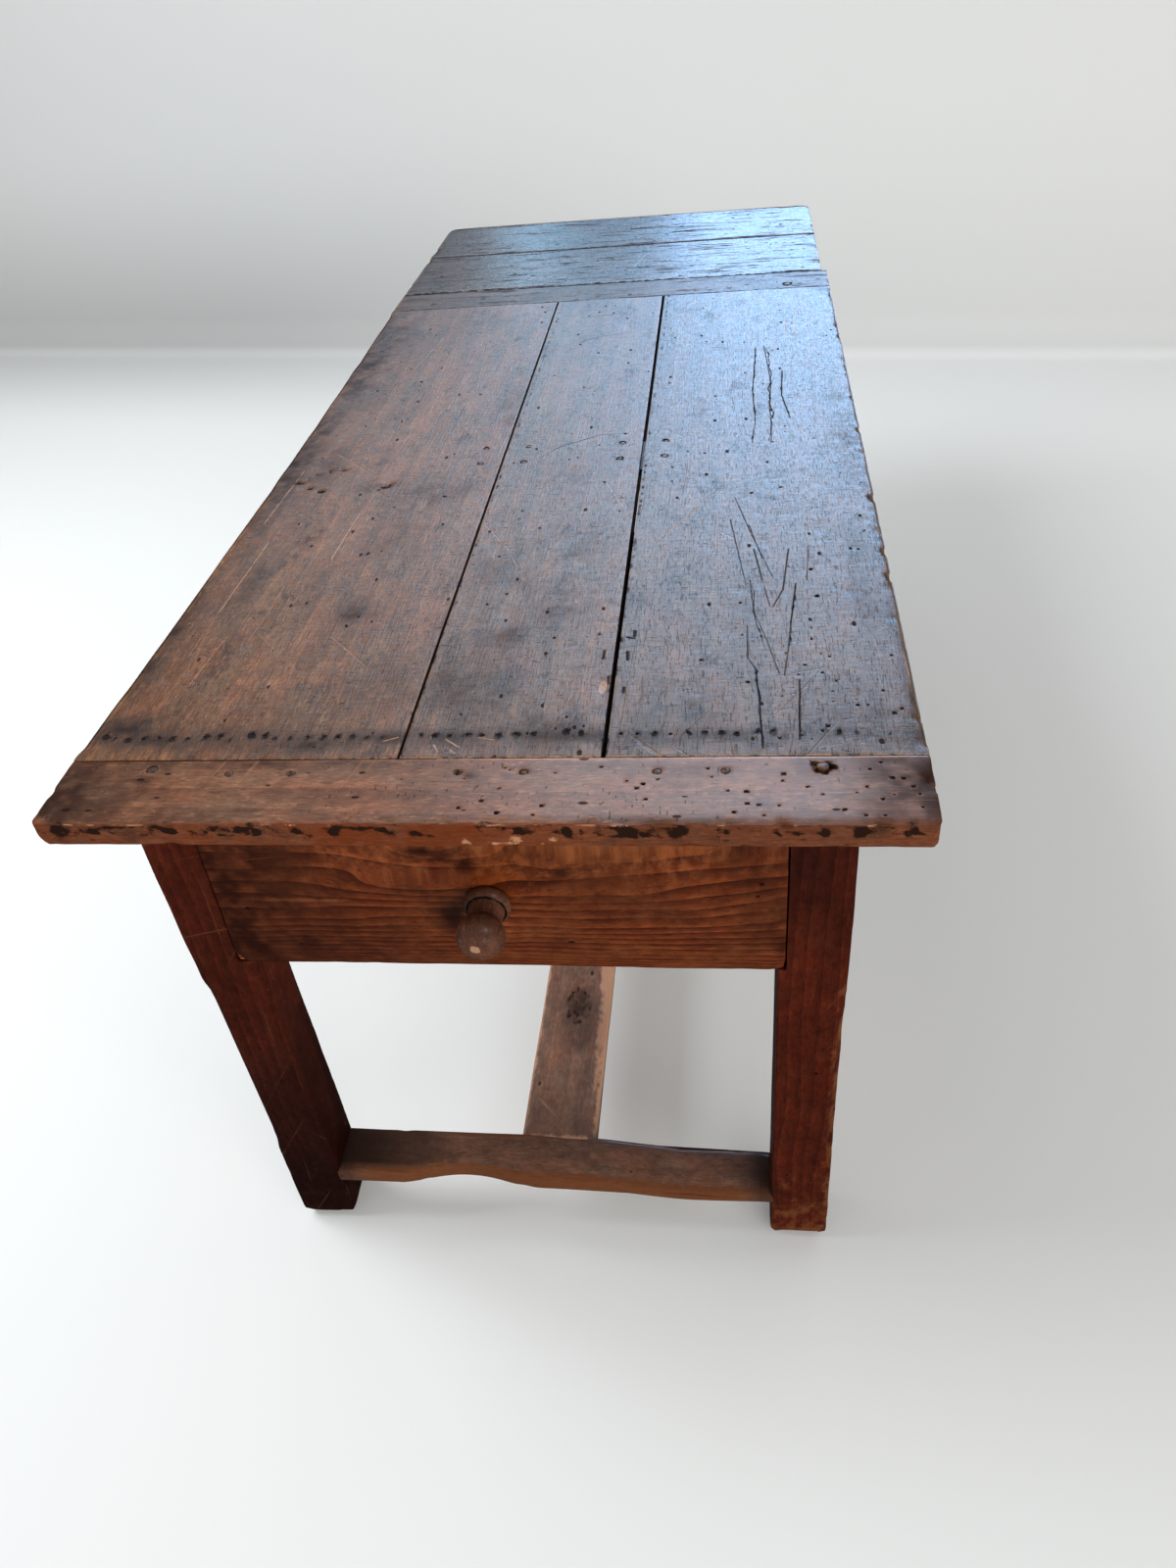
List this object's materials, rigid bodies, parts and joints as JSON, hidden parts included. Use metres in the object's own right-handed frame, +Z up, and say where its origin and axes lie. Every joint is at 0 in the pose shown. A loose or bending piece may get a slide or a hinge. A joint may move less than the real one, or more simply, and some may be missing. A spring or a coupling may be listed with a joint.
{
  "type": "farmhouse table",
  "caption": "Old plank-top farmhouse table with breadboard ends, square legs on low stretchers, a deep end drawer with a turned knob and a pull-out leaf on sliding arms.",
  "frame": {"origin": "on the floor under the middle of the whole table, its knob and leaf included", "axes": "+Z up; +Y along the table from the drawer end to the leaf end; +X to the right of someone facing the drawer"},
  "size_m": [0.8, 2.032, 0.748],
  "materials": {
    "top_wood": "dark waxed hardwood, worn and scratched, satin",
    "leaf_wood": "dark waxed hardwood, dry and weathered, satin",
    "leg_wood": "dark red-brown stain over hardwood, worn arrises",
    "stretcher_wood": "foot-worn hardwood, grey-brown above and paler brown in front",
    "drawer_front_pine": "orange-brown stained pine with strong dark grain, satin",
    "inside_pine": "dry unfinished pine, aged",
    "knob_wood": "turned hardwood, dark, polished by hands",
    "peg_wood": "riven hardwood pegs, dark",
    "nail_iron": "forged, dark and rusty"
  },
  "bodies": {
    "table": {"plank_left": "top_wood", "plank_middle": "top_wood", "plank_right": "top_wood", "breadboard_near": "top_wood", "breadboard_far": "top_wood", "leg_near_left": "leg_wood", "leg_near_right": "leg_wood", "leg_far_left": "leg_wood", "leg_far_right": "leg_wood", "apron_left": "leg_wood", "apron_right": "leg_wood", "apron_far": "leg_wood", "cross_stretcher_near": "stretcher_wood", "cross_stretcher_far": "stretcher_wood", "long_stretcher": "stretcher_wood", "near_rail": "inside_pine", "middle_rail": "inside_pine", "runner_left": "inside_pine", "runner_right": "inside_pine", "plank_tenons": "peg_wood", "plank_pegs": "peg_wood", "breadboard_pegs": "peg_wood", "top_pegs": "peg_wood", "apron_pegs": "peg_wood", "stretcher_pegs": "peg_wood"},
    "drawer": {"drawer_front": "drawer_front_pine", "drawer_side_left": "inside_pine", "drawer_side_right": "inside_pine", "drawer_back": "inside_pine", "drawer_bottom": "inside_pine", "drawer_nails": "nail_iron", "drawer_knob": "knob_wood", "knob_wedge": "knob_wood"},
    "end_leaf": {"leaf_board_inner": "leaf_wood", "leaf_board_outer": "leaf_wood", "leaf_arm_left": "inside_pine", "leaf_arm_right": "inside_pine", "leaf_stop_pegs": "peg_wood", "leaf_nails": "nail_iron"}
  },
  "joints": [
    {"name": "drawer_slide", "type": "slide", "parent": "table", "child": "drawer", "axis": [0, -1, 0], "range_m": [0, 0.4]},
    {"name": "leaf_slide", "type": "slide", "parent": "table", "child": "end_leaf", "axis": [0, 1, 0], "range_m": [0, 0.36]}
  ]
}
